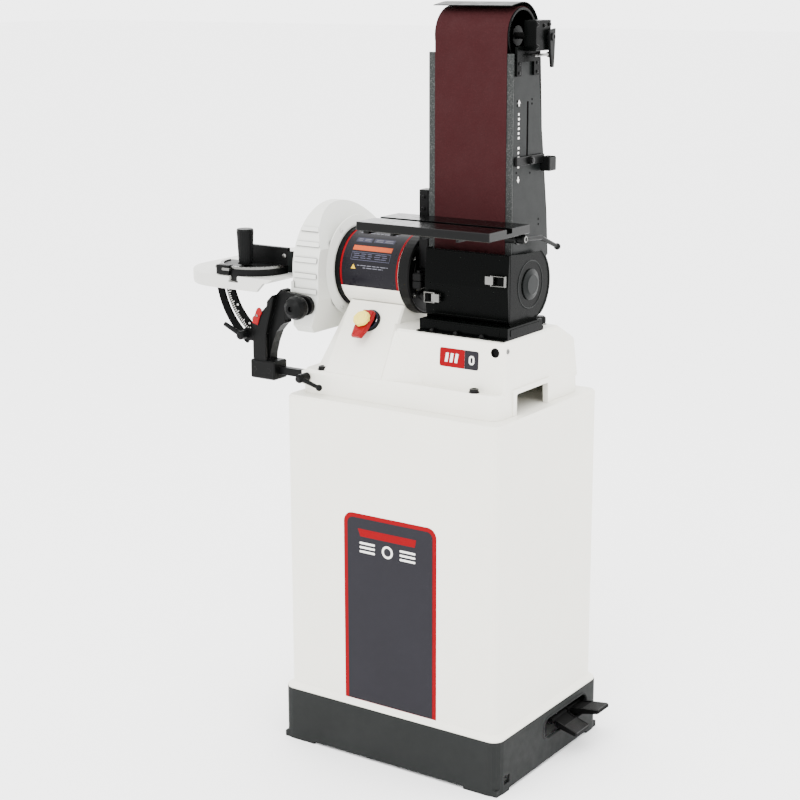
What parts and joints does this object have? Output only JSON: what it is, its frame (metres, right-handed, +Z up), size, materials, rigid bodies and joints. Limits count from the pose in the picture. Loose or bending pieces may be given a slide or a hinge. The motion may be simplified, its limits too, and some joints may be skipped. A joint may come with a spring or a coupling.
{
  "type": "belt disc sander",
  "caption": "Floor-standing belt and disc sander: vertical sanding belt with work table, disc with miter table, motor between them, on a closed cabinet stand.",
  "frame": {"origin": "centre of the overall box, on the floor", "axes": "+Z up; +X along the motor shaft from the disc to the belt; +Y to the back, so the operator stands at -Y"},
  "size_m": [0.8224, 0.3952, 1.45],
  "materials": {
    "dark_grey_moulding": "matte, fine texture",
    "white_paint": "satin white powder coat",
    "black_rubber": "matte",
    "black_paint": "satin black paint",
    "grey_paint": "satin grey paint",
    "black_plastic": "semi-matte",
    "red_plastic": "glossy red",
    "yellow_plastic": "glossy yellow",
    "bright_steel": "plated",
    "steel": "ground",
    "copper_winding": "enamelled winding and laminations",
    "aluminium": "machined",
    "table_aluminium": "ground top, light grey",
    "cast_iron_black": "black painted, ground top",
    "abrasive": "abrasive grit on cloth, red-brown"
  },
  "bodies": {
    "stand": {"plinth": "dark_grey_moulding", "cabinet": "white_paint", "cabinet_rear_panel": "white_paint", "base_casting": "white_paint", "switch_bezel": "black_plastic", "motor_housing": "white_paint", "motor_bell_left": "black_paint", "motor_bell_right": "black_paint", "bearing_left": "bright_steel", "bearing_right": "bright_steel", "stator_core": "copper_winding", "disc_guard": "white_paint", "dust_housing": "black_paint", "pivot_cap": "grey_paint"},
    "rotor": {"motor_shaft": "steel", "rotor_core": "steel", "disc_plate": "aluminium", "disc_abrasive": "abrasive", "drive_drum": "aluminium"},
    "arm": {"arm_plate_left": "grey_paint", "arm_plate_right": "grey_paint", "platen": "steel", "top_guard": "grey_paint", "arm_back_cover": "black_paint", "arm_pivot_bracket": "black_paint", "arm_pivot_bush": "steel", "abrasive_belt": "abrasive", "belt_table_hinge": "black_paint", "tension_spring": "steel"},
    "idler_carriage": {"tracking_bracket": "black_paint", "idler_bracket_left": "black_paint", "idler_axle": "bright_steel", "tracking_screw": "bright_steel"},
    "idler": {"idler_drum": "aluminium"},
    "tracking_handle": {"tracking_handle": "grey_paint"},
    "tension_handle": {"tension_handle": "black_plastic"},
    "belt_table": {"belt_table": "cast_iron_black"},
    "belt_table_lever": {"belt_table_lever": "black_plastic"},
    "housing_door": {"housing_door": "black_paint"},
    "latch_left": {"latch_left": "bright_steel"},
    "latch_right": {"latch_right": "bright_steel"},
    "arm_lock_knob": {"arm_lock_knob": "black_plastic"},
    "table_support": {"support_bar": "black_paint", "table_bracket": "black_paint"},
    "disc_table": {"disc_table": "table_aluminium", "tilt_quadrant": "black_paint"},
    "tilt_lock_lever": {"tilt_lock_lever": "black_plastic"},
    "bracket_knob": {"bracket_knob": "black_plastic"},
    "base_lock_lever": {"base_lock_lever": "black_plastic"},
    "miter_bar": {"miter_bar": "steel"},
    "miter_head": {"miter_head": "black_paint", "miter_fence": "black_paint"},
    "miter_handle": {"miter_handle": "black_plastic"},
    "switch_paddle": {"switch_paddle": "red_plastic"},
    "switch_key": {"switch_key": "yellow_plastic"},
    "lift_pedal": {"lift_pedal": "black_rubber"},
    "release_pedal": {"release_pedal": "black_rubber"},
    "caster_frame": {"caster_frame": "black_paint"},
    "wheels_left": {"wheelset_left": "black_rubber"},
    "wheels_right": {"wheelset_right": "black_rubber"}
  },
  "joints": [
    {"name": "motor_spin", "type": "hinge", "parent": "stand", "child": "rotor", "pos_m": [0.1058, 0, 0.94], "axis": [1, 0, 0], "continuous": true},
    {"name": "arm_tilt", "type": "hinge", "parent": "stand", "child": "arm", "pos_m": [0.1058, 0, 0.94], "axis": [-1, 0, 0], "range_deg": [0, 90]},
    {"name": "idler_slide", "type": "slide", "parent": "arm", "child": "idler_carriage", "axis": [0, 0, 1], "range_m": [-0.0081, 0], "deforming": ["tension_spring"]},
    {"name": "idler_spin", "type": "hinge", "parent": "idler_carriage", "child": "idler", "pos_m": [0.1968, 0, 1.39], "axis": [1, 0, 0], "continuous": true},
    {"name": "tracking_turn", "type": "hinge", "parent": "idler_carriage", "child": "tracking_handle", "pos_m": [0.3121, 0.03, 1.388], "axis": [1, 0, 0], "range_deg": [-45, 45]},
    {"name": "tension_slide", "type": "slide", "parent": "arm", "child": "tension_handle", "axis": [0, 0, 1], "range_m": [0, 0.095]},
    {"name": "belt_table_tilt", "type": "hinge", "parent": "arm", "child": "belt_table", "pos_m": [0.1858, -0.066, 1.034], "axis": [1, 0, 0], "range_deg": [0, 45]},
    {"name": "belt_table_lock", "type": "hinge", "parent": "arm", "child": "belt_table_lever", "pos_m": [0.3105, -0.066, 1.034], "axis": [1, 0, 0], "range_deg": [-25, 25]},
    {"name": "door_open", "type": "hinge", "parent": "stand", "child": "housing_door", "pos_m": [0.2058, -0.0745, 0.879], "axis": [1, 0, 0], "range_deg": [0, 60]},
    {"name": "latch_left_swing", "type": "hinge", "parent": "housing_door", "child": "latch_left", "pos_m": [0.1538, -0.08415, 0.912], "axis": [0, 0, 1], "range_deg": [0, 90]},
    {"name": "latch_right_swing", "type": "hinge", "parent": "housing_door", "child": "latch_right", "pos_m": [0.2538, -0.08415, 0.956], "axis": [0, 0, -1], "range_deg": [0, 90]},
    {"name": "arm_lock_turn", "type": "hinge", "parent": "stand", "child": "arm_lock_knob", "pos_m": [0.2993, 0.0375, 0.8523], "axis": [0, 0, 1], "range_deg": [-180, 180]},
    {"name": "bar_slide", "type": "slide", "parent": "stand", "child": "table_support", "axis": [1, 0, 0], "range_m": [-0.035, 0]},
    {"name": "disc_table_tilt", "type": "hinge", "parent": "table_support", "child": "disc_table", "pos_m": [-0.1662, 0, 0.9305], "axis": [0, -1, 0], "range_deg": [0, 33]},
    {"name": "tilt_lock_turn", "type": "hinge", "parent": "table_support", "child": "tilt_lock_lever", "pos_m": [-0.25319, -0.16, 0.81077], "axis": [0, -1, 0], "range_deg": [-40, 60]},
    {"name": "bracket_knob_turn", "type": "hinge", "parent": "table_support", "child": "bracket_knob", "pos_m": [-0.1207, -0.148, 0.878], "axis": [0, -1, 0], "range_deg": [-180, 180]},
    {"name": "base_lock_turn", "type": "hinge", "parent": "stand", "child": "base_lock_lever", "pos_m": [-0.1062, -0.1545, 0.743], "axis": [0, -1, 0], "range_deg": [-10, 90]},
    {"name": "miter_slide", "type": "slide", "parent": "disc_table", "child": "miter_bar", "axis": [0, 1, 0], "range_m": [-0.1, 0.2]},
    {"name": "miter_swivel", "type": "hinge", "parent": "miter_bar", "child": "miter_head", "pos_m": [-0.2557, -0.118, 0.9311], "axis": [0, 0, 1], "range_deg": [-50, 50]},
    {"name": "miter_handle_turn", "type": "hinge", "parent": "miter_bar", "child": "miter_handle", "pos_m": [-0.2557, -0.15, 0.9492], "axis": [0, 0, 1], "range_deg": [-180, 180]},
    {"name": "switch_paddle_swing", "type": "hinge", "parent": "stand", "child": "switch_paddle", "pos_m": [-0.0092, -0.079, 0.8654], "axis": [-1, 0, 0], "range_deg": [0, 30]},
    {"name": "switch_key_pull", "type": "slide", "parent": "switch_paddle", "child": "switch_key", "axis": [0, -0.6763, 0.7366], "range_m": [0, 0.012]},
    {"name": "lift_pedal_rock", "type": "hinge", "parent": "stand", "child": "lift_pedal", "pos_m": [0.3418, 0.12, 0.068], "axis": [0, 1, 0], "range_deg": [0, 12.1]},
    {"name": "release_pedal_rock", "type": "hinge", "parent": "stand", "child": "release_pedal", "pos_m": [0.3418, 0.059, 0.068], "axis": [0, 1, 0], "range_deg": [-12.1, 0]},
    {"name": "caster_drop", "type": "slide", "parent": "stand", "child": "caster_frame", "axis": [0, 0, 1], "range_m": [-0.01, 0]},
    {"name": "wheels_left_spin", "type": "hinge", "parent": "caster_frame", "child": "wheels_left", "pos_m": [-0.0442, 0, 0.035], "axis": [0, 1, 0], "continuous": true},
    {"name": "wheels_right_spin", "type": "hinge", "parent": "caster_frame", "child": "wheels_right", "pos_m": [0.2558, 0, 0.035], "axis": [0, 1, 0], "continuous": true}
  ],
  "couplings": [
    {"joint": "idler_spin", "follows": "motor_spin", "ratio": 1},
    {"joint": "idler_slide", "follows": "tension_slide", "ratio": -0.085},
    {"joint": "release_pedal_rock", "follows": "caster_drop", "rad_per_m": 20.944},
    {"joint": "lift_pedal_rock", "follows": "caster_drop", "rad_per_m": -20.944}
  ]
}
